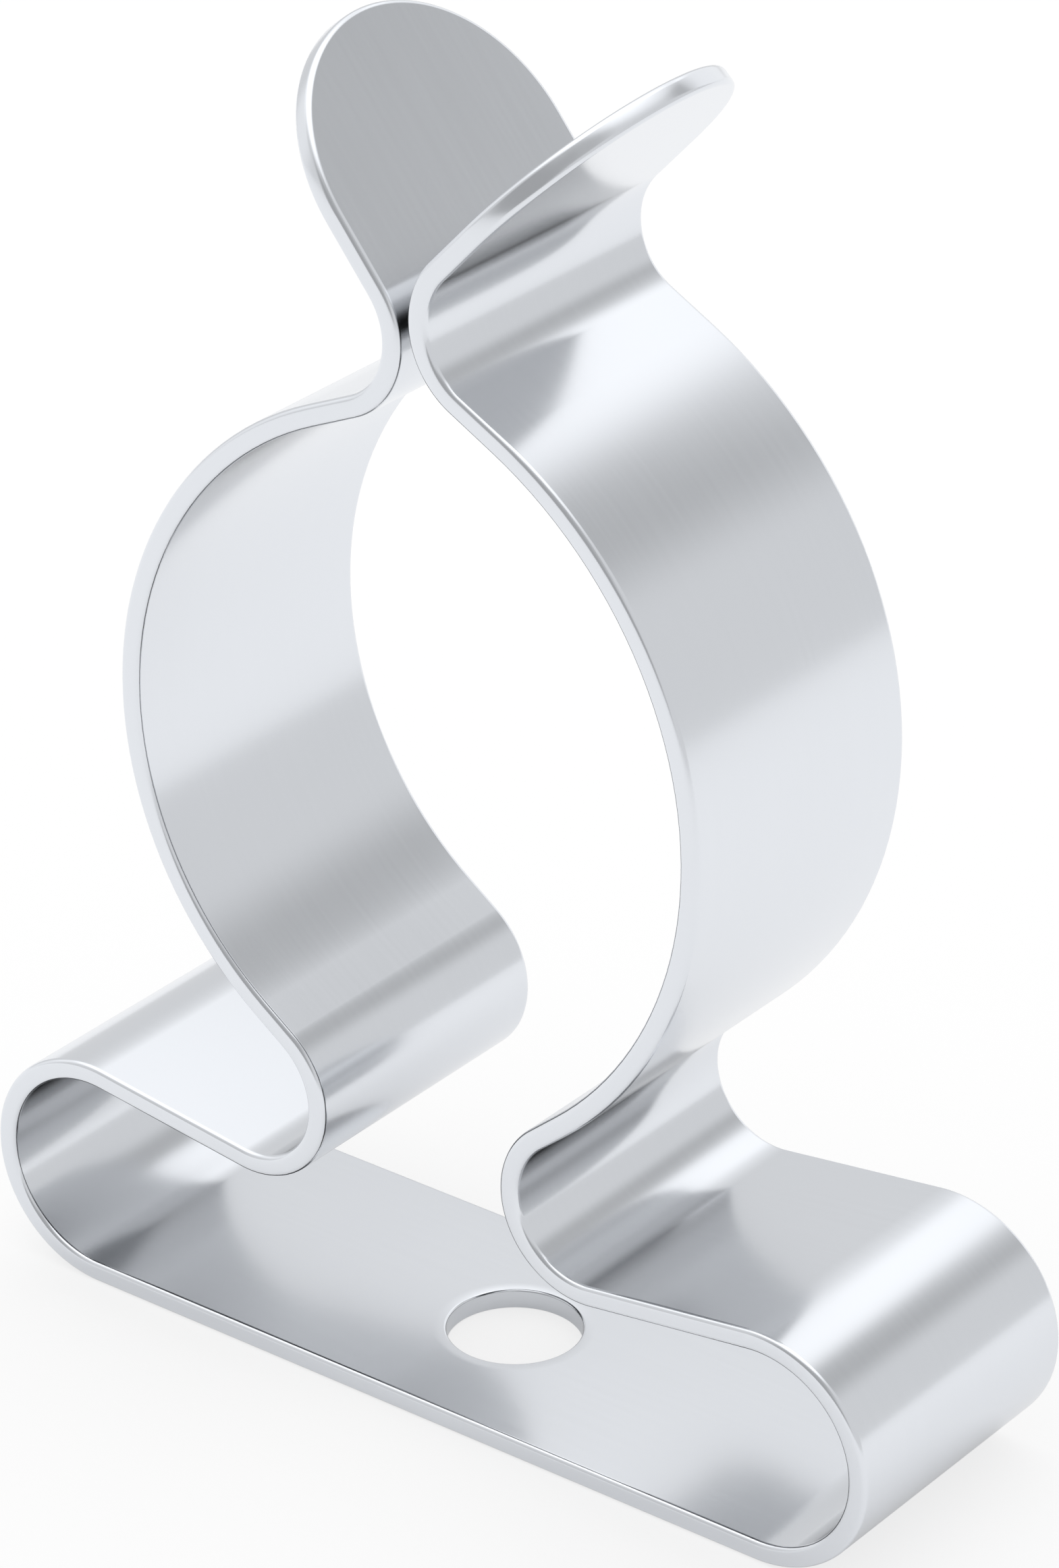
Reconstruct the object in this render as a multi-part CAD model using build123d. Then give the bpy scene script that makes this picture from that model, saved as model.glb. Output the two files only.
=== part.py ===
from build123d import *
import os
from dataclasses import dataclass
from math import acos, atan2, cos, degrees, hypot, radians, sin

# A cable clip bent from one strip of spring steel: a flat base, an end loop at each side, and two
# arms that return over the base and rise as curved jaws to a narrow neck with flared finger tabs.
# +X runs along the base, +Y across the strip and +Z up. The origin is on the axis of the screw
# hole, at the underside of the base. Lengths are in millimetres and angles in degrees.

# The strip
strip_width = 12.0
strip_thickness = 0.8
edge_bevel = 0.1

# The base, measured over both end loops
base_length = 39.2
hole_diameter = 5.0

# The end loops, and the gap that the returned arms leave over the hole
loop_inside_radius = 3.8
loop_angle = 187.4
throat_width = 7.8

# The inner corners, where each arm turns up into its jaw
corner_inside_radius = 2.7
corner_run = 1.5

# The jaws: a lower and an upper arc each, and a short straight before the neck
lower_jaw_angle = 68.0
neck_run = 2.0

# The neck, where the arms nearly touch, and the flared tabs above it
neck_inside_radius = 2.5
neck_gap = 0.3

# The two arms differ a little as bent: the left one is lower, and its jaw is rounder
right_lower_jaw_radius = 14.6
right_upper_jaw_radius = 14.9
right_upper_jaw_angle = 43.4
right_tab_angle = 46.9
right_tab_straight = 2.2

left_lower_jaw_radius = 13.0
left_upper_jaw_radius = 13.8
left_upper_jaw_angle = 52.2
left_tab_angle = 51.1
left_tab_straight = 2.7


@dataclass(frozen=True)
class Piece:
    """A stretch of the strip: straight over its length, or bent round an inside radius.

    A positive turn bends the strip to the left of its run, and a negative one to the right.
    """

    length: float = 0.0
    inside_radius: float = 0.0
    turn: float = 0.0


@dataclass(frozen=True)
class Arm:
    """The sizes in which the two arms differ."""

    lower_jaw_radius: float
    upper_jaw_radius: float
    upper_jaw_angle: float
    tab_angle: float
    tab_straight: float


right_arm = Arm(
    lower_jaw_radius=right_lower_jaw_radius,
    upper_jaw_radius=right_upper_jaw_radius,
    upper_jaw_angle=right_upper_jaw_angle,
    tab_angle=right_tab_angle,
    tab_straight=right_tab_straight,
)
left_arm = Arm(
    lower_jaw_radius=left_lower_jaw_radius,
    upper_jaw_radius=left_upper_jaw_radius,
    upper_jaw_angle=left_upper_jaw_angle,
    tab_angle=left_tab_angle,
    tab_straight=left_tab_straight,
)


# Where the strip's middle line crosses the axis of the hole
base_middle = Vector(0, strip_thickness / 2)


def direction(heading):
    """Unit vector along a heading, which is 0 along the base and 90 straight up."""
    return Vector(cos(radians(heading)), sin(radians(heading)))


def left_of(heading):
    """Unit vector to the left of a heading."""
    return direction(heading + 90)


def middle_radius(inside_radius):
    """Radius of a bend at the middle of the strip's thickness."""
    return inside_radius + strip_thickness / 2


def run_edges(start, heading, pieces, offset=0):
    """Edges of a run of the strip, drawn at an offset to the left of its middle line."""
    point = start + left_of(heading) * offset
    edges = []
    for piece in pieces:
        if piece.turn == 0:
            edge = Line(point, point + direction(heading) * piece.length)
        else:
            bend_side = 1 if piece.turn > 0 else -1
            radius = middle_radius(piece.inside_radius) - bend_side * offset
            edge = JernArc(point, direction(heading), radius, piece.turn)
        edges.append(edge)
        point = edge @ 1
        heading += piece.turn
    return edges


def end_loop():
    """The half base and the loop at its end."""
    half_base = base_length / 2 - loop_inside_radius - strip_thickness
    return [
        Piece(length=half_base),
        Piece(inside_radius=loop_inside_radius, turn=loop_angle),
    ]


def corner_centre(loop_end):
    """Centre of the inner corner beside the throat, and the run that leads to the corner."""
    outside_radius = corner_inside_radius + strip_thickness
    across = throat_width / 2 + outside_radius
    reach = loop_end + left_of(loop_angle) * -middle_radius(corner_inside_radius)
    run = (across - reach.X) / cos(radians(loop_angle))
    return reach + direction(loop_angle) * run, run


def jaw(arm):
    """The run from the inner corner to the neck."""
    return [
        Piece(length=corner_run),
        Piece(inside_radius=arm.lower_jaw_radius, turn=lower_jaw_angle),
        Piece(inside_radius=arm.upper_jaw_radius, turn=arm.upper_jaw_angle),
        Piece(length=neck_run),
    ]


def jaw_slope(arm, centre):
    """Heading at which the arm leaves its corner, so that its neck closes to the gap."""
    start = Vector(0, middle_radius(corner_inside_radius))
    end = run_edges(start, 0, jaw(arm))[-1] @ 1
    end_heading = lower_jaw_angle + arm.upper_jaw_angle
    neck_centre = end - left_of(end_heading) * middle_radius(neck_inside_radius)
    across = neck_gap / 2 + strip_thickness + neck_inside_radius
    reach = hypot(neck_centre.X, neck_centre.Y)
    return degrees(acos((across - centre.X) / reach) - atan2(neck_centre.Y, neck_centre.X))


def arm_pieces(arm):
    """Straights and bends of half the clip, from the hole's axis to the tab's round end."""
    loop = end_loop()
    loop_end = run_edges(base_middle, 0, loop)[-1] @ 1
    centre, return_run = corner_centre(loop_end)
    slope = jaw_slope(arm, centre)
    neck_heading = slope + lower_jaw_angle + arm.upper_jaw_angle
    return [
        *loop,
        Piece(length=return_run),
        Piece(inside_radius=corner_inside_radius, turn=slope - loop_angle),
        *jaw(arm),
        Piece(inside_radius=neck_inside_radius, turn=arm.tab_angle - neck_heading),
        Piece(length=arm.tab_straight),
    ]


def bent_strip(pieces):
    """Half of the clip up to where the tab's round end starts, to the right of the hole's axis."""
    upper = run_edges(base_middle, 0, pieces, strip_thickness / 2)
    lower = run_edges(base_middle, 0, pieces, -strip_thickness / 2)
    ends = [Line(upper[0] @ 0, lower[0] @ 0), Line(upper[-1] @ 1, lower[-1] @ 1)]
    outline = make_face(Plane.XZ * (Curve() + upper + lower + ends))
    return extrude(outline, amount=strip_width / 2, both=True)


def round_end(pieces, slope):
    """The half disc that ends a tab, lying in the tab's own slope."""
    centre = run_edges(base_middle, 0, pieces)[-1] @ 1
    along = Vector(cos(radians(slope)), 0, sin(radians(slope)))
    tab_plane = Plane(origin=(centre.X, 0, centre.Y), x_dir=along, z_dir=along.cross(Vector(0, 1, 0)))
    radius = strip_width / 2
    outer_half = Rectangle(radius, strip_width, align=(Align.MIN, Align.CENTER))
    return extrude(tab_plane * (Circle(radius) & outer_half), amount=strip_thickness / 2, both=True)


def half_clip(arm):
    """Half of the clip with its round tab, to the right of the hole's axis."""
    pieces = arm_pieces(arm)
    return bent_strip(pieces) + round_end(pieces, arm.tab_angle)


def screw_hole():
    """The hole through the middle of the base."""
    return extrude(Circle(hole_diameter / 2), amount=strip_thickness)


def sharp_edges(part):
    """The strip's long edges, the rims of its tabs and the rims of the hole."""
    across = part.edges().filter_by(Axis.Y)
    through = part.edges().filter_by(lambda edge: abs(edge.length - strip_thickness) < edge_bevel / 2)
    return part.edges() - across - through


def cable_clip():
    """The whole clip, with its sharp edges broken."""
    blank = half_clip(right_arm) + mirror(half_clip(left_arm), about=Plane.YZ) - screw_hole()
    return chamfer(sharp_edges(blank), length=edge_bevel)


clip = cable_clip()
os.makedirs("parts", exist_ok=True)
export_step(clip, "parts/clip_strip.step")
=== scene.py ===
"""A cable clip of bent spring steel on a white floor, in a pale studio with soft light overhead."""
import logging
from dataclasses import dataclass, field
from enum import Enum
from math import acos, atan2, ceil, cos, degrees, hypot, pi, radians, sin

import bmesh
import bpy
from bmesh.types import BMEdge, BMesh, BMVert
from bpy.types import Material, Node, NodeSocket, NodeTree, Object, World
from mathutils import Matrix, Vector


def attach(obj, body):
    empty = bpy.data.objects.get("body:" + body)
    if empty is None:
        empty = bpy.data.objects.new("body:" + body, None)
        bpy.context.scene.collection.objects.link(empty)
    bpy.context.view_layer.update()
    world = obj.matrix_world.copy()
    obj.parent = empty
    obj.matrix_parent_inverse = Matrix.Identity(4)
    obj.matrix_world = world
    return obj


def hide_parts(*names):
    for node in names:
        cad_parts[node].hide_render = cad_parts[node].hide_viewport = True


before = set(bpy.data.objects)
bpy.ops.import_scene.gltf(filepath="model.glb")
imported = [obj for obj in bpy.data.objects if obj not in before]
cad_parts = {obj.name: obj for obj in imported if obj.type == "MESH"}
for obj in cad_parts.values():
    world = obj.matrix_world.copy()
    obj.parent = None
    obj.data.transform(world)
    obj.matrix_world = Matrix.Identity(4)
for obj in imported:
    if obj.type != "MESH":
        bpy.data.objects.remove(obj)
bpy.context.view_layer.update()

log = logging.getLogger("cable_clip")

MILLIMETRE = 0.001
WHITE = (1.0, 1.0, 1.0, 1.0)
LENGTH_LAYER = "along"
PLACE_MAP = "strip"

Feed = float | tuple[float, ...] | Vector | NodeSocket


class Side(Enum):
    """The halves of the clip, by the way each runs from the screw hole along X."""

    RIGHT = 1
    LEFT = -1


@dataclass(frozen=True)
class Stretch:
    """A stretch of the strip: straight over its length, or bent round an inside radius.

    A positive turn bends the strip upwards as it leaves the base, and a negative one back.
    """

    length: float = 0.0
    inside_radius: float = 0.0
    turn: float = 0.0


@dataclass(frozen=True)
class Stock:
    """The strip that the clip is bent from, in millimetres."""

    width: float = 12.0
    thickness: float = 0.8
    edge_radius: float = 0.2
    edge_segments: int = 5

    def middle_radius(self, inside_radius: float) -> float:
        """Radius of a bend at the middle of the thickness."""
        return inside_radius + self.thickness / 2


@dataclass(frozen=True)
class Arm:
    """The sizes in which the two arms differ, in millimetres and degrees."""

    side: Side
    lower_jaw_radius: float
    upper_jaw_radius: float
    upper_jaw_angle: float
    tab_angle: float
    tab_straight: float


@dataclass(frozen=True)
class ClipSizes:
    """The sizes that both halves share, in millimetres and degrees."""

    base_length: float = 39.2
    hole_diameter: float = 5.0
    loop_inside_radius: float = 3.8
    loop_angle: float = 187.4
    throat_width: float = 7.8
    corner_inside_radius: float = 2.7
    corner_run: float = 1.5
    lower_jaw_angle: float = 68.0
    neck_run: float = 2.0
    neck_inside_radius: float = 2.5
    neck_gap: float = 0.3

    def half_base(self, stock: Stock) -> float:
        """Length of the flat base on one side of the hole's axis."""
        return self.base_length / 2 - self.loop_inside_radius - stock.thickness


def direction(heading: float) -> Vector:
    """Unit vector in the X-Z plane along a heading: 0 is along the base and 90 straight up."""
    return Vector((cos(radians(heading)), 0.0, sin(radians(heading))))


def left_of(heading: float) -> Vector:
    """Unit vector to the left of a heading."""
    return direction(heading + 90.0)


def new_verts(grown: list) -> list[BMVert]:
    """The vertices in what an operator has made."""
    return [item for item in grown if isinstance(item, BMVert)]


def far_edges(grown: list) -> list[BMEdge]:
    """The edges at the far end of what an extrusion has made."""
    fresh = set(new_verts(grown))
    return [item for item in grown if isinstance(item, BMEdge) and fresh.issuperset(item.verts)]


def with_verts(edges: list[BMEdge]) -> list[BMVert | BMEdge]:
    """The vertices at the ends of edges, each once, and the edges."""
    return [*dict.fromkeys(vert for edge in edges for vert in edge.verts), *edges]


def add_object(name: str, shape: BMesh, material: Material) -> Object:
    """Put a shape in the scene as an object.

    Args:
        name: name of the object and of its mesh
        shape: the finished shape, in metres, which is freed
        material: its material

    Returns:
        The object.
    """
    mesh = bpy.data.meshes.new(name)
    shape.to_mesh(mesh)
    shape.free()
    mesh.materials.append(material)
    item = bpy.data.objects.new(name, mesh)
    bpy.context.scene.collection.objects.link(item)
    return item


@dataclass(frozen=True)
class NodeGraph:
    """The nodes of one material or world.

    Attributes:
        tree: the node tree that they are added to
    """

    tree: NodeTree

    @classmethod
    def of(cls, owner: Material | World) -> "NodeGraph":
        """Start an empty graph.

        Args:
            owner: the material or world whose nodes they are

        Returns:
            The graph.
        """
        owner.use_nodes = True
        owner.node_tree.nodes.clear()
        return cls(owner.node_tree)

    def feed(self, node: Node, feeds: dict[int | str, Feed]) -> Node:
        """Set or link the inputs of a node.

        Args:
            node: the node
            feeds: a value or a socket for each input, by the input's name or number

        Returns:
            The node.
        """
        for key, feed in feeds.items():
            if isinstance(feed, NodeSocket):
                self.tree.links.new(feed, node.inputs[key])
            else:
                node.inputs[key].default_value = feed
        return node

    def add(self, kind: str, feeds: dict[int | str, Feed] | None = None) -> Node:
        """Add a node and feed it."""
        return self.feed(self.tree.nodes.new(kind), feeds or {})

    def number(self, operation: str, *feeds: Feed) -> NodeSocket:
        """Add a Math node.

        Args:
            operation: what it works out
            feeds: a value or a socket for each input

        Returns:
            The socket with its result.
        """
        node = self.tree.nodes.new("ShaderNodeMath")
        node.operation = operation
        return self.feed(node, dict(enumerate(feeds))).outputs[0]

    def vector_node(self, operation: str, feeds: dict[int | str, Feed]) -> Node:
        """Add a Vector Math node.

        Args:
            operation: what it works out
            feeds: a value or a socket for each input, by the input's name or number

        Returns:
            The node, which gives a number or a vector.
        """
        node = self.tree.nodes.new("ShaderNodeVectorMath")
        node.operation = operation
        return self.feed(node, feeds)

    def scaled(self, vector: Feed, factor: Feed) -> NodeSocket:
        """A vector or colour times a number."""
        return self.vector_node("SCALE", {0: vector, "Scale": factor}).outputs["Vector"]

    def remapped(
        self,
        value: NodeSocket,
        source: tuple[float, float],
        target: tuple[float, float] = (0.0, 1.0),
        smooth: bool = False,
    ) -> NodeSocket:
        """Map a value from one range to another, and hold it at the ends.

        Args:
            value: the value
            source: the range that it comes from
            target: what the ends of that range become
            smooth: whether it eases in and out at the ends

        Returns:
            The mapped value.
        """
        node = self.tree.nodes.new("ShaderNodeMapRange")
        if smooth:
            node.interpolation_type = "SMOOTHSTEP"
        ends = dict(zip(("From Min", "From Max", "To Min", "To Max"), (*source, *target)))
        return self.feed(node, {"Value": value, **ends}).outputs["Result"]


@dataclass
class Route:
    """The strip's middle line through half the clip, to the right of the screw hole.

    Attributes:
        stock: the strip that is bent
        sizes: sizes that both halves share
        arm: sizes of this half
    """

    stock: Stock
    sizes: ClipSizes
    arm: Arm

    def end_of(self, start: Vector, heading: float, stretches: list[Stretch]) -> Vector:
        """Find where a run of stretches ends.

        Args:
            start: point on the middle line where the run starts
            heading: heading at the start
            stretches: the run

        Returns:
            The point on the middle line where the run ends.
        """
        point = start.copy()
        for stretch in stretches:
            if stretch.turn == 0:
                point += direction(heading) * stretch.length
                continue
            reach = self.stock.middle_radius(stretch.inside_radius)
            if stretch.turn < 0:
                reach = -reach
            centre = point + left_of(heading) * reach
            heading += stretch.turn
            point = centre - left_of(heading) * reach
        return point

    def jaw(self) -> list[Stretch]:
        """The run from the inner corner to the neck.

        Returns:
            The run's stretches.
        """
        return [
            Stretch(length=self.sizes.corner_run),
            Stretch(inside_radius=self.arm.lower_jaw_radius, turn=self.sizes.lower_jaw_angle),
            Stretch(inside_radius=self.arm.upper_jaw_radius, turn=self.arm.upper_jaw_angle),
            Stretch(length=self.sizes.neck_run),
        ]

    def jaw_slope(self, corner_centre: Vector) -> float:
        """Heading at which the arm leaves its corner, so that its neck closes to the gap.

        Args:
            corner_centre: centre of the inner corner's bend

        Returns:
            The heading in degrees.
        """
        sizes = self.sizes
        start = Vector((0.0, 0.0, self.stock.middle_radius(sizes.corner_inside_radius)))
        end = self.end_of(start, 0.0, self.jaw())
        heading = sizes.lower_jaw_angle + self.arm.upper_jaw_angle
        neck = end - left_of(heading) * self.stock.middle_radius(sizes.neck_inside_radius)
        across = sizes.neck_gap / 2 + self.stock.thickness + sizes.neck_inside_radius
        reach = hypot(neck.x, neck.z)
        return degrees(acos((across - corner_centre.x) / reach) - atan2(neck.z, neck.x))

    def stretches(self) -> list[Stretch]:
        """The run from the end of the flat base to where the tab's round end starts.

        Returns:
            The run's stretches.
        """
        sizes = self.sizes
        loop = Stretch(inside_radius=sizes.loop_inside_radius, turn=sizes.loop_angle)
        base_end = Vector((sizes.half_base(self.stock), 0.0, self.stock.thickness / 2))
        loop_end = self.end_of(base_end, 0.0, [loop])
        across = sizes.throat_width / 2 + sizes.corner_inside_radius + self.stock.thickness
        corner_radius = self.stock.middle_radius(sizes.corner_inside_radius)
        reach = loop_end - left_of(sizes.loop_angle) * corner_radius
        return_run = (across - reach.x) / cos(radians(sizes.loop_angle))
        slope = self.jaw_slope(reach + direction(sizes.loop_angle) * return_run)
        neck_heading = slope + sizes.lower_jaw_angle + self.arm.upper_jaw_angle
        neck_turn = self.arm.tab_angle - neck_heading
        return [
            loop,
            Stretch(length=return_run),
            Stretch(inside_radius=sizes.corner_inside_radius, turn=slope - sizes.loop_angle),
            *self.jaw(),
            Stretch(inside_radius=sizes.neck_inside_radius, turn=neck_turn),
            Stretch(length=self.arm.tab_straight),
        ]


@dataclass
class Bender:
    """Draws the strip's section out of the base, stretch by stretch.

    Attributes:
        skin: the mesh that grows, in millimetres
        front: the open section where the strip has got to
        stock: the strip
        side: the half of the clip
        place: point on the middle line, measured as if on the right half
        along: length of the middle line from the hole's axis
        heading: heading of the strip, measured as if on the right half
        step: largest turn between two rings of the skin, in degrees
    """

    skin: BMesh
    front: list[BMEdge]
    stock: Stock
    side: Side
    place: Vector
    along: float
    heading: float = 0.0
    step: float = 2.5

    def mirrored(self, vector: Vector) -> Vector:
        """A vector of the right half, turned to this half."""
        return Vector((vector.x * self.side.value, vector.y, vector.z))

    def mark(self, verts: list[BMVert]) -> None:
        """Write the length along the strip on new vertices.

        Args:
            verts: the vertices
        """
        layer = self.skin.verts.layers.float[LENGTH_LAYER]
        for vert in verts:
            vert[layer] = self.along * self.side.value

    def draw(self, stretches: list[Stretch]) -> None:
        """Draw a run of stretches.

        Args:
            stretches: the run
        """
        for stretch in stretches:
            if stretch.turn == 0:
                self.draw_straight(stretch.length)
            else:
                self.draw_bend(stretch)

    def draw_straight(self, length: float) -> None:
        """Draw the section straight on.

        Args:
            length: how far, in millimetres
        """
        shift = direction(self.heading) * length
        grown = bmesh.ops.extrude_edge_only(self.skin, edges=self.front)["geom"]
        verts = new_verts(grown)
        bmesh.ops.translate(self.skin, verts=verts, vec=self.mirrored(shift))
        self.front = far_edges(grown)
        self.place += shift
        self.along += length
        self.mark(verts)

    def draw_bend(self, stretch: Stretch) -> None:
        """Spin the section round a bend, a small step at a time.

        Args:
            stretch: the bend
        """
        radius = self.stock.middle_radius(stretch.inside_radius)
        reach = radius if stretch.turn > 0 else -radius
        centre = self.place + left_of(self.heading) * reach
        steps = ceil(abs(stretch.turn) / self.step)
        turn = stretch.turn / steps
        for _ in range(steps):
            grown = bmesh.ops.spin(
                self.skin,
                geom=with_verts(self.front),
                cent=self.mirrored(centre),
                axis=(0.0, -self.side.value, 0.0),
                angle=radians(turn),
                steps=1,
                use_merge=False,
                use_duplicate=False,
            )["geom_last"]
            self.front = [item for item in grown if isinstance(item, BMEdge)]
            self.along += radius * radians(abs(turn))
            self.mark(new_verts(grown))
        self.heading += stretch.turn
        self.place = centre - left_of(self.heading) * reach

    def draw_round_end(self) -> None:
        """Close the tab with a half disc, spun from half of the section."""
        half = [edge for edge in self.front if sum(vert.co.y for vert in edge.verts) > 0]
        centre = self.mirrored(self.place)
        forward = self.mirrored(direction(self.heading))
        across = Vector((0.0, 1.0, 0.0))
        before = set(self.skin.verts)
        bmesh.ops.spin(
            self.skin,
            geom=with_verts(half),
            cent=centre,
            axis=across.cross(forward),
            angle=pi,
            steps=ceil(degrees(pi) / self.step),
            use_merge=False,
            use_duplicate=False,
        )
        layer = self.skin.verts.layers.float[LENGTH_LAYER]
        for vert in self.skin.verts:
            if vert not in before:
                reach = (vert.co - centre).dot(forward)
                vert[layer] = (self.along + reach) * self.side.value


@dataclass(frozen=True)
class SteelFinish:
    """Rolled spring steel with a smooth bright plating.

    Attributes:
        colour: colour of the metal face on
        painted_reflection_colour: painted colour, more neutral and darker, that the metal shows in
            its own reflections, as painted shade
        painted_shade_depths: depths of reflection in itself at which painted shade starts to darken
            the metal and turns it black
        drift: share by which the colour varies from place to place
        roughness: mean roughness
        roughness_drift: spread of the roughness
        grain_width: spacing of the rolling lines across the strip, in metres
        grain_length: length of the rolling lines along the strip, in metres
        grain_detail: how many finer sets of lines lie in the rolling lines
        grain_height: depth of the rolling lines, in metres
        cloud_size: size of the soft patches in the plating, in metres
        cloud_detail: how many finer sets of patches lie in the soft patches
        mottle_range: what the sum of the lines' and the patches' values ranges over
    """

    colour: tuple[float, float, float] = (0.783, 0.807, 0.847)
    # painted shade: the metal's reflections of itself take this darker, more neutral colour and go
    # black with depth
    painted_reflection_colour: tuple[float, float, float] = (0.803, 0.815, 0.835)
    painted_shade_depths: tuple[float, float] = (0.45, 3.4)
    drift: float = 0.006
    roughness: float = 0.18
    roughness_drift: float = 0.01
    grain_width: float = 0.00022
    grain_length: float = 0.009
    grain_detail: float = 3.0
    grain_height: float = 0.0000002
    cloud_size: float = 0.006
    cloud_detail: float = 2.0
    mottle_range: tuple[float, float] = (0.6, 1.4)

    def material(self) -> Material:
        """Make the material of the finish.

        Returns:
            The material.
        """
        material = bpy.data.materials.new("bright_spring_steel")
        graph = NodeGraph.of(material)
        grain = self.grain(graph)
        mottle = graph.number("ADD", grain, self.cloud(graph))
        bump = graph.add(
            "ShaderNodeBump", {"Strength": 1.0, "Distance": self.grain_height, "Height": grain}
        )
        steel = graph.add(
            "ShaderNodeBsdfPrincipled",
            {
                "Base Color": self.tint_with_painted_shade(graph, mottle),
                "Metallic": 1.0,
                "Roughness": self.spread(graph, mottle, self.roughness, self.roughness_drift),
                "Normal": bump.outputs["Normal"],
            },
        )
        graph.add("ShaderNodeOutputMaterial", {"Surface": steel.outputs["BSDF"]})
        return material

    def spread(
        self, graph: NodeGraph, mottle: NodeSocket, mean: float, drift: float
    ) -> NodeSocket:
        """Let a value vary with the mottle.

        Args:
            graph: the material's nodes
            mottle: sum of the lines' and the patches' values
            mean: the value in the middle
            drift: how far it goes to either side

        Returns:
            The varying value.
        """
        return graph.remapped(mottle, self.mottle_range, (mean - drift, mean + drift))

    def tint_with_painted_shade(self, graph: NodeGraph, mottle: NodeSocket) -> NodeSocket:
        """Colour of the metal, with painted shade: more neutral and darker in the metal's own
        reflections, and black in deep ones.

        Args:
            graph: the material's nodes
            mottle: sum of the lines' and the patches' values

        Returns:
            The colour.
        """
        face_on = graph.scaled(self.colour, self.spread(graph, mottle, 1.0, self.drift))
        rays = graph.add("ShaderNodeLightPath")
        either = graph.add("ShaderNodeMix")
        either.data_type = "VECTOR"
        # painted reflection colour: glossy rays see the darker, more neutral colour instead of the
        # metal's own
        feeds = {"Factor": rays.outputs["Is Glossy Ray"], "A": face_on, "B": self.painted_reflection_colour}
        graph.feed(either, feeds)
        # painted shade: the colour darkens with each reflection of the metal in itself
        painted_shade_fade = graph.remapped(rays.outputs["Ray Depth"], self.painted_shade_depths, (1.0, 0.0))
        return graph.scaled(either.outputs["Result"], painted_shade_fade)

    def grain(self, graph: NodeGraph) -> NodeSocket:
        """Fine lines along the strip, as its rolls leave them.

        Args:
            graph: the material's nodes

        Returns:
            A value about 0.5 that changes over the surface.
        """
        place = graph.add("ShaderNodeUVMap")
        place.uv_map = PLACE_MAP
        lines_apart = (1 / self.grain_length, 1 / self.grain_width, 1.0)
        stretched = graph.add(
            "ShaderNodeMapping", {"Vector": place.outputs["UV"], "Scale": lines_apart}
        )
        lines = graph.add("ShaderNodeTexNoise")
        lines.noise_dimensions = "2D"
        feeds = {"Vector": stretched.outputs["Vector"], "Scale": 1.0, "Detail": self.grain_detail}
        return graph.feed(lines, feeds).outputs["Fac"]

    def cloud(self, graph: NodeGraph) -> NodeSocket:
        """Soft patches in the plating.

        Args:
            graph: the material's nodes

        Returns:
            A value about 0.5 that changes over the surface.
        """
        place = graph.add("ShaderNodeTexCoord").outputs["Object"]
        feeds = {"Vector": place, "Scale": 1 / self.cloud_size, "Detail": self.cloud_detail}
        return graph.add("ShaderNodeTexNoise", feeds).outputs["Fac"]


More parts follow.
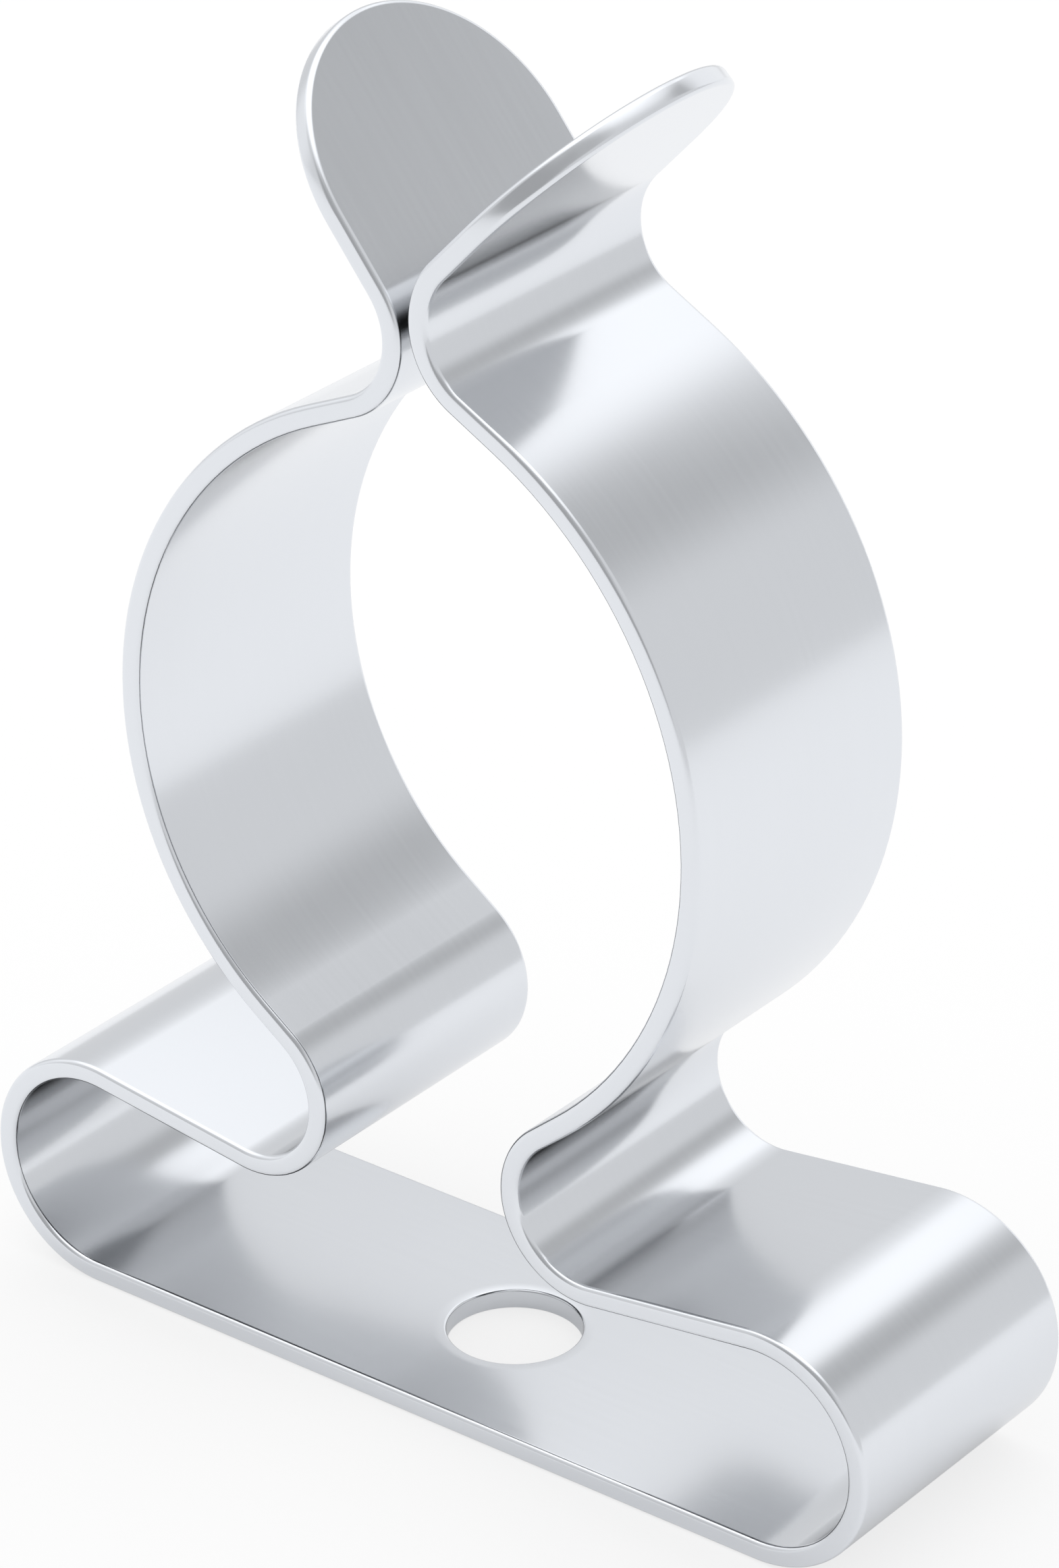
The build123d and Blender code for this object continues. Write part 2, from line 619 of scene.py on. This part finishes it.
@dataclass
class StripClip:
    """The clip's one piece: a strip bent into a base, two loops, two jaws and two tabs.

    Attributes:
        stock: the strip
        sizes: sizes that both halves share
        arms: sizes of each half
        finish: the strip's finish
        hole_edge_radius: radius of the screw hole's rims, in millimetres
        hole_land: width of the flat ring round each rim, in millimetres
        hole_steps: faces round the screw hole
    """

    # Tolerances in millimetres, and the least rise of a unit normal that counts as upright
    MERGE_DISTANCE = 0.0005
    LEVEL_TOLERANCE = 0.001
    MIDDLE_TOLERANCE = 0.1
    UPRIGHT = 0.999

    stock: Stock = field(default_factory=Stock)
    sizes: ClipSizes = field(default_factory=ClipSizes)
    arms: tuple[Arm, Arm] = (
        Arm(
            side=Side.RIGHT,
            lower_jaw_radius=14.6,
            upper_jaw_radius=14.9,
            upper_jaw_angle=43.4,
            tab_angle=46.9,
            tab_straight=2.2,
        ),
        Arm(
            side=Side.LEFT,
            lower_jaw_radius=13.0,
            upper_jaw_radius=13.8,
            upper_jaw_angle=52.2,
            tab_angle=51.1,
            tab_straight=2.7,
        ),
    )
    finish: SteelFinish = field(default_factory=SteelFinish)
    hole_edge_radius: float = 0.1
    hole_land: float = 0.4
    hole_steps: int = 96

    @property
    def half_base(self) -> float:
        """Length of the flat base on one side of the hole's axis."""
        return self.sizes.half_base(self.stock)

    def build(self) -> Object:
        """Make the clip and put it in the scene.

        Returns:
            The finished piece.
        """
        skin = bmesh.new()
        skin.verts.layers.float.new(LENGTH_LAYER)
        fronts = self.draw_base(skin)
        for arm in self.arms:
            bender = Bender(
                skin=skin,
                front=fronts[arm.side],
                stock=self.stock,
                side=arm.side,
                place=Vector((self.half_base, 0.0, self.stock.thickness / 2)),
                along=self.half_base,
            )
            bender.draw(Route(self.stock, self.sizes, arm).stretches())
            bender.draw_round_end()
            log.info("%s arm: %.1f mm of strip", arm.side.name.lower(), bender.along)
        bmesh.ops.remove_doubles(skin, verts=skin.verts, dist=self.MERGE_DISTANCE)
        self.cut_hole(skin)
        bmesh.ops.recalc_face_normals(skin, faces=skin.faces)
        self.lay_places(skin)
        bmesh.ops.scale(skin, vec=(MILLIMETRE,) * 3, verts=skin.verts)
        return self.finished(skin)

    def draw_base(self, skin: BMesh) -> dict[Side, list[BMEdge]]:
        """Draw the flat base from one end of it to the other.

        Args:
            skin: the mesh that grows

        Returns:
            The open section at each end of the base.
        """
        left = self.open_section(skin)
        grown = bmesh.ops.extrude_edge_only(skin, edges=left)["geom"]
        verts = new_verts(grown)
        bmesh.ops.translate(skin, verts=verts, vec=(2 * self.half_base, 0.0, 0.0))
        layer = skin.verts.layers.float[LENGTH_LAYER]
        for vert in skin.verts:
            vert[layer] = -self.half_base
        for vert in verts:
            vert[layer] = self.half_base
        return {Side.LEFT: left, Side.RIGHT: far_edges(grown)}

    def open_section(self, skin: BMesh) -> list[BMEdge]:
        """Draw the strip's section at the left end of the base.

        Args:
            skin: the empty mesh

        Returns:
            The outline of the section, with no face in it.
        """
        stock = self.stock
        section = bmesh.ops.create_grid(skin, x_segments=2, y_segments=1, size=0.5)["verts"]
        bmesh.ops.scale(skin, vec=(stock.width, stock.thickness, 1.0), verts=section)
        bmesh.ops.rotate(skin, matrix=Matrix.Rotation(pi / 2, 3, "X"), verts=section)
        bmesh.ops.rotate(skin, matrix=Matrix.Rotation(pi / 2, 3, "Z"), verts=section)
        place = (-self.half_base, 0.0, stock.thickness / 2)
        bmesh.ops.translate(skin, vec=place, verts=section)
        bmesh.ops.bevel(
            skin,
            geom=[vert for vert in section if abs(vert.co.y) > stock.width / 4],
            affect="VERTICES",
            offset=stock.edge_radius,
            offset_type="OFFSET",
            segments=stock.edge_segments,
            profile=0.5,
            material=-1,
        )
        middle = [edge for edge in skin.edges if len(edge.link_faces) == 2]
        bmesh.ops.delete(skin, geom=list(skin.faces), context="FACES_ONLY")
        bmesh.ops.delete(skin, geom=middle, context="EDGES")
        return list(skin.edges)

    def cut_hole(self, skin: BMesh) -> None:
        """Open the base's top and underside and join them by the wall of the screw hole.

        Args:
            skin: the mesh that grows
        """
        flats = [
            face
            for face in skin.faces
            if abs(face.normal.z) > self.UPRIGHT
            and abs(face.calc_center_median().x) < self.MIDDLE_TOLERANCE
        ]
        bmesh.ops.delete(skin, geom=flats, context="FACES")
        wall = self.hole_wall(skin)
        open_edges = [edge for edge in skin.edges if len(edge.link_faces) == 1]
        for level in (0.0, self.stock.thickness):
            rim = [
                edge
                for edge in open_edges
                if all(abs(vert.co.z - level) < self.LEVEL_TOLERANCE for vert in edge.verts)
            ]
            bmesh.ops.triangle_fill(
                skin, use_beauty=True, use_dissolve=False, edges=rim, normal=(0.0, 0.0, 1.0)
            )
        layer = skin.verts.layers.float[LENGTH_LAYER]
        for vert in wall:
            vert[layer] = vert.co.x

    def hole_wall(self, skin: BMesh) -> list[BMVert]:
        """Spin the wall of the screw hole, with its round rims and a flat land round each.

        Args:
            skin: the mesh that grows

        Returns:
            The vertices of the wall and the lands.
        """
        before = set(skin.verts)
        radius = self.hole_edge_radius
        top = self.stock.thickness
        rim_x = self.sizes.hole_diameter / 2 + radius
        end = skin.verts.new((rim_x + self.hole_land, 0.0, top))
        end = self.drawn_on(skin, end, (-self.hole_land, 0.0, 0.0))
        end = self.rounded(skin, end, (rim_x, 0.0, top - radius))
        end = self.drawn_on(skin, end, (0.0, 0.0, 2 * radius - top))
        end = self.rounded(skin, end, (rim_x, 0.0, radius))
        self.drawn_on(skin, end, (self.hole_land, 0.0, 0.0))
        verts = [vert for vert in skin.verts if vert not in before]
        edges = dict.fromkeys(edge for vert in verts for edge in vert.link_edges)
        bmesh.ops.spin(
            skin,
            geom=[*verts, *edges],
            cent=(0.0, 0.0, 0.0),
            axis=(0.0, 0.0, 1.0),
            angle=2 * pi,
            steps=self.hole_steps,
            use_merge=True,
            use_duplicate=False,
        )
        return [vert for vert in skin.verts if vert not in before]

    def drawn_on(self, skin: BMesh, end: BMVert, shift: tuple[float, float, float]) -> BMVert:
        """Draw a line straight on.

        Args:
            skin: the mesh that grows
            end: last vertex of the line
            shift: how far it goes on, in millimetres

        Returns:
            The new last vertex.
        """
        grown = bmesh.ops.extrude_vert_indiv(skin, verts=[end])["verts"]
        bmesh.ops.translate(skin, verts=grown, vec=shift)
        return grown[0]

    def rounded(self, skin: BMesh, end: BMVert, centre: tuple[float, float, float]) -> BMVert:
        """Draw a line on by a quarter turn.

        Args:
            skin: the mesh that grows
            end: last vertex of the line
            centre: centre of the turn

        Returns:
            The new last vertex.
        """
        return bmesh.ops.spin(
            skin,
            geom=[end],
            cent=centre,
            axis=(0.0, -1.0, 0.0),
            angle=pi / 2,
            steps=self.stock.edge_segments,
            use_merge=False,
            use_duplicate=False,
        )["geom_last"][0]

    def lay_places(self, skin: BMesh) -> None:
        """Write where each corner lies on the flat strip, in metres, as the piece's own map.

        Args:
            skin: the closed skin, in millimetres
        """
        layer = skin.verts.layers.float[LENGTH_LAYER]
        places = skin.loops.layers.uv.new(PLACE_MAP)
        for face in skin.faces:
            face.smooth = True
            for loop in face.loops:
                along, across = loop.vert[layer], loop.vert.co.y
                loop[places].uv = (along * MILLIMETRE, across * MILLIMETRE)

    def finished(self, skin: BMesh) -> Object:
        """Turn the skin into the finished piece.

        Args:
            skin: the closed skin, in metres

        Returns:
            The piece, dressed and riding on its body.
        """
        piece = add_object("bent_strip", skin, self.finish.material())
        shading = piece.modifiers.new("flat faces", "WEIGHTED_NORMAL")
        shading.mode = "FACE_AREA"
        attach(piece, "root")
        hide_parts("clip_strip")
        return piece


@dataclass(frozen=True)
class Glow:
    """A soft-edged round patch of the dome, brighter or dimmer than the rest of it.

    Attributes:
        azimuth: where it lies, in degrees from +X towards +Y
        elevation: its height above the floor, in degrees
        radius: radius to the middle of its edge, in degrees
        blur: half the width of its edge, in degrees, which may be more than the radius
        gain: what it adds to the dome's brightness
    """

    azimuth: float
    elevation: float
    radius: float
    blur: float
    gain: float

    @property
    def towards(self) -> Vector:
        """Unit vector towards the middle of the patch."""
        level = cos(radians(self.elevation))
        azimuth = radians(self.azimuth)
        return Vector((level * cos(azimuth), level * sin(azimuth), sin(radians(self.elevation))))

    def added(self, graph: NodeGraph, view: NodeSocket, brightness: NodeSocket) -> NodeSocket:
        """Add the patch to the dome's brightness.

        Args:
            graph: nodes of the dome's material
            view: direction from the dome's middle
            brightness: brightness without the patch

        Returns:
            The brightness with the patch.
        """
        nearness = graph.vector_node("DOT_PRODUCT", {0: view, 1: self.towards})
        angle = graph.number("ARCCOSINE", nearness.outputs["Value"])
        edge = (radians(self.radius + self.blur), radians(self.radius - self.blur))
        cover = graph.remapped(angle, edge, smooth=True)
        return graph.number("MULTIPLY_ADD", cover, self.gain, brightness)


@dataclass
class Studio:
    """The plain studio: a pale dome with soft light overhead, and a white floor.

    Attributes:
        wall_brightness: brightness of the dome
        glows: the soft patches of the dome
        dome_radius: radius of the dome, in metres
        dome_segments: faces of the dome round its foot and over its top
        floor_radius: radius of the floor, in metres
        floor_segments: sides of the floor
        floor_drop: how far the floor lies under the clip, in metres
        white_reach: distances at which the floor starts to turn and has turned into the walls
        floor_share: share of the floor's brightness that comes from the light on it, as the
            camera and as the metal see it
        floor_painted_second_shade: share of its brightness that the floor keeps in second
            reflections, painted shade that dims it only there
    """

    wall_brightness: float = 0.75
    glows: tuple[Glow, ...] = (
        Glow(azimuth=146.0, elevation=80.0, radius=43.3, blur=3.0, gain=0.26),
        Glow(azimuth=143.0, elevation=86.0, radius=31.0, blur=8.0, gain=0.40),
        Glow(azimuth=124.5, elevation=40.0, radius=4.0, blur=18.0, gain=0.34),
        Glow(azimuth=60.0, elevation=38.5, radius=11.0, blur=7.0, gain=-0.26),
        Glow(azimuth=-49.0, elevation=46.9, radius=14.9, blur=8.0, gain=-0.23),
        Glow(azimuth=-85.0, elevation=15.0, radius=30.0, blur=12.0, gain=-0.32),
        Glow(azimuth=89.5, elevation=23.5, radius=25.5, blur=2.2, gain=0.26),
        Glow(azimuth=-165.0, elevation=14.0, radius=18.0, blur=8.0, gain=0.20),
        Glow(azimuth=-170.0, elevation=50.0, radius=25.0, blur=10.0, gain=0.25),
    )
    dome_radius: float = 0.5
    dome_segments: tuple[int, int] = (128, 64)
    floor_radius: float = 2.0
    floor_segments: int = 128
    floor_drop: float = 0.00002
    white_reach: tuple[float, float] = (0.35, 0.65)
    floor_share: tuple[float, float] = (0.25, 0.65)
    floor_painted_second_shade: float = 0.9

    def build(self) -> None:
        """Make the world's light, the dome and the floor."""
        self.light_world()
        self.raise_dome()
        self.lay_floor()
        log.info("studio: %d soft patches", len(self.glows))

    def light_world(self) -> None:
        """Make the world a plain grey, like the dome's walls."""
        world = bpy.data.worlds.new("studio")
        bpy.context.scene.world = world
        graph = NodeGraph.of(world)
        feeds = {"Color": WHITE, "Strength": self.wall_brightness}
        light = graph.add("ShaderNodeBackground", feeds)
        graph.add("ShaderNodeOutputWorld", {"Surface": light.outputs["Background"]})

    def raise_dome(self) -> None:
        """Raise the dome over the clip. The camera looks through it from wherever it stands."""
        shell = bmesh.new()
        around, over = self.dome_segments
        bmesh.ops.create_uvsphere(
            shell, u_segments=around, v_segments=over, radius=self.dome_radius
        )
        bmesh.ops.bisect_plane(
            shell,
            geom=[*shell.verts, *shell.edges, *shell.faces],
            plane_co=(0.0, 0.0, -self.floor_drop),
            plane_no=(0.0, 0.0, 1.0),
            clear_inner=True,
        )
        bmesh.ops.reverse_faces(shell, faces=shell.faces)
        dome = add_object("dome", shell, self.dome_light())
        dome.visible_camera = False

    def dome_light(self) -> Material:
        """The dome's own light, with its soft patches.

        Returns:
            The material.
        """
        material = bpy.data.materials.new("dome_light")
        graph = NodeGraph.of(material)
        place = graph.add("ShaderNodeTexCoord").outputs["Object"]
        view = graph.vector_node("NORMALIZE", {0: place}).outputs["Vector"]
        walls = graph.add("ShaderNodeValue")
        walls.outputs[0].default_value = self.wall_brightness
        brightness = walls.outputs[0]
        for glow in self.glows:
            brightness = glow.added(graph, view, brightness)
        light = graph.add("ShaderNodeEmission", {"Color": WHITE, "Strength": brightness})
        graph.add("ShaderNodeOutputMaterial", {"Surface": light.outputs["Emission"]})
        material.cycles.emission_sampling = "NONE"
        return material

    def lay_floor(self) -> None:
        """Lay the white floor, which keeps the clip's shadow."""
        disc = bmesh.new()
        bmesh.ops.create_circle(
            disc, cap_ends=True, segments=self.floor_segments, radius=self.floor_radius
        )
        bmesh.ops.translate(disc, verts=disc.verts, vec=(0.0, 0.0, -self.floor_drop))
        add_object("floor", disc, self.floor_paint())

    def floor_paint(self) -> Material:
        """White paint, part lit by the room and part bright by itself.

        Returns:
            The material.
        """
        material = bpy.data.materials.new("white_floor")
        graph = NodeGraph.of(material)
        rays = graph.add("ShaderNodeLightPath")
        level = self.floor_level(graph, rays)
        paint = graph.add("ShaderNodeBsdfDiffuse", {"Color": level})
        bright = graph.add("ShaderNodeEmission", {"Color": WHITE, "Strength": level})
        mixed = graph.add(
            "ShaderNodeMixShader",
            {
                "Fac": self.floor_glow(graph, rays),
                1: paint.outputs["BSDF"],
                2: bright.outputs["Emission"],
            },
        )
        graph.add("ShaderNodeOutputMaterial", {"Surface": mixed.outputs["Shader"]})
        return material

    def floor_level(self, graph: NodeGraph, rays: Node) -> NodeSocket:
        """How white the floor is: like the walls far out, and dimmed by painted shade in second
        reflections.

        Args:
            graph: nodes of the floor's material
            rays: its Light Path node

        Returns:
            The level, which is 1 for white.
        """
        place = graph.add("ShaderNodeTexCoord").outputs["Object"]
        distance = graph.vector_node("LENGTH", {0: place}).outputs["Value"]
        reach = graph.remapped(
            distance, self.white_reach, (1.0, self.wall_brightness), smooth=True
        )
        # painted shade: the floor is dimmer in second reflections only
        depth, first_to_second = rays.outputs["Ray Depth"], (1.0, 2.0)
        second = graph.remapped(depth, first_to_second, (1.0, self.floor_painted_second_shade))
        return graph.number("MULTIPLY", reach, second)

    def floor_glow(self, graph: NodeGraph, rays: Node) -> NodeSocket:
        """Share of the floor that is bright by itself to the camera and to the metal.

        Args:
            graph: nodes of the floor's material
            rays: its Light Path node

        Returns:
            The share, which is 0 for every other ray.
        """
        camera_share, metal_share = self.floor_share
        mirrored = graph.number(
            "MAXIMUM", rays.outputs["Is Glossy Ray"], rays.outputs["Is Transmission Ray"]
        )
        to_metal = graph.number("MULTIPLY", mirrored, 1.0 - metal_share)
        return graph.number(
            "MULTIPLY_ADD", rays.outputs["Is Camera Ray"], 1.0 - camera_share, to_metal
        )


@dataclass(frozen=True)
class ViewPoint:
    """The camera, and how it looks down at the clip.

    Attributes:
        eye: where it stands, in metres
        azimuth: how far it is turned from facing +Y towards -X, in degrees
        elevation: how far it looks down, in degrees
        lens: focal length, in millimetres
        sensor: width of its sensor, in millimetres
        clip_range: nearest and furthest that it sees, in metres
    """

    eye: tuple[float, float, float] = (0.12042, -0.15633, 0.12495)
    azimuth: float = 37.452
    elevation: float = 27.313
    lens: float = 146.3
    sensor: float = 36.0
    clip_range: tuple[float, float] = (0.005, 20.0)

    def build(self) -> None:
        """Make the camera and choose it for the scene."""
        data = bpy.data.cameras.new("camera")
        data.lens = self.lens
        data.sensor_width = self.sensor
        data.clip_start, data.clip_end = self.clip_range
        camera = bpy.data.objects.new("camera", data)
        camera.location = self.eye
        camera.rotation_euler = (radians(90.0 - self.elevation), 0.0, radians(self.azimuth))
        bpy.context.scene.collection.objects.link(camera)
        bpy.context.scene.camera = camera


def write_sizes() -> None:
    """Update the scene's view layer."""
    bpy.context.view_layer.update()


def main() -> None:
    """Build the clip, its studio and the camera."""
    logging.basicConfig(level=logging.INFO, format="%(message)s")
    piece = StripClip().build()
    log.info("%s: %d faces", piece.name, len(piece.data.polygons))
    Studio().build()
    ViewPoint().build()
    bpy.context.scene.view_settings.view_transform = "Standard"
    write_sizes()


if __name__ == "__main__":
    main()
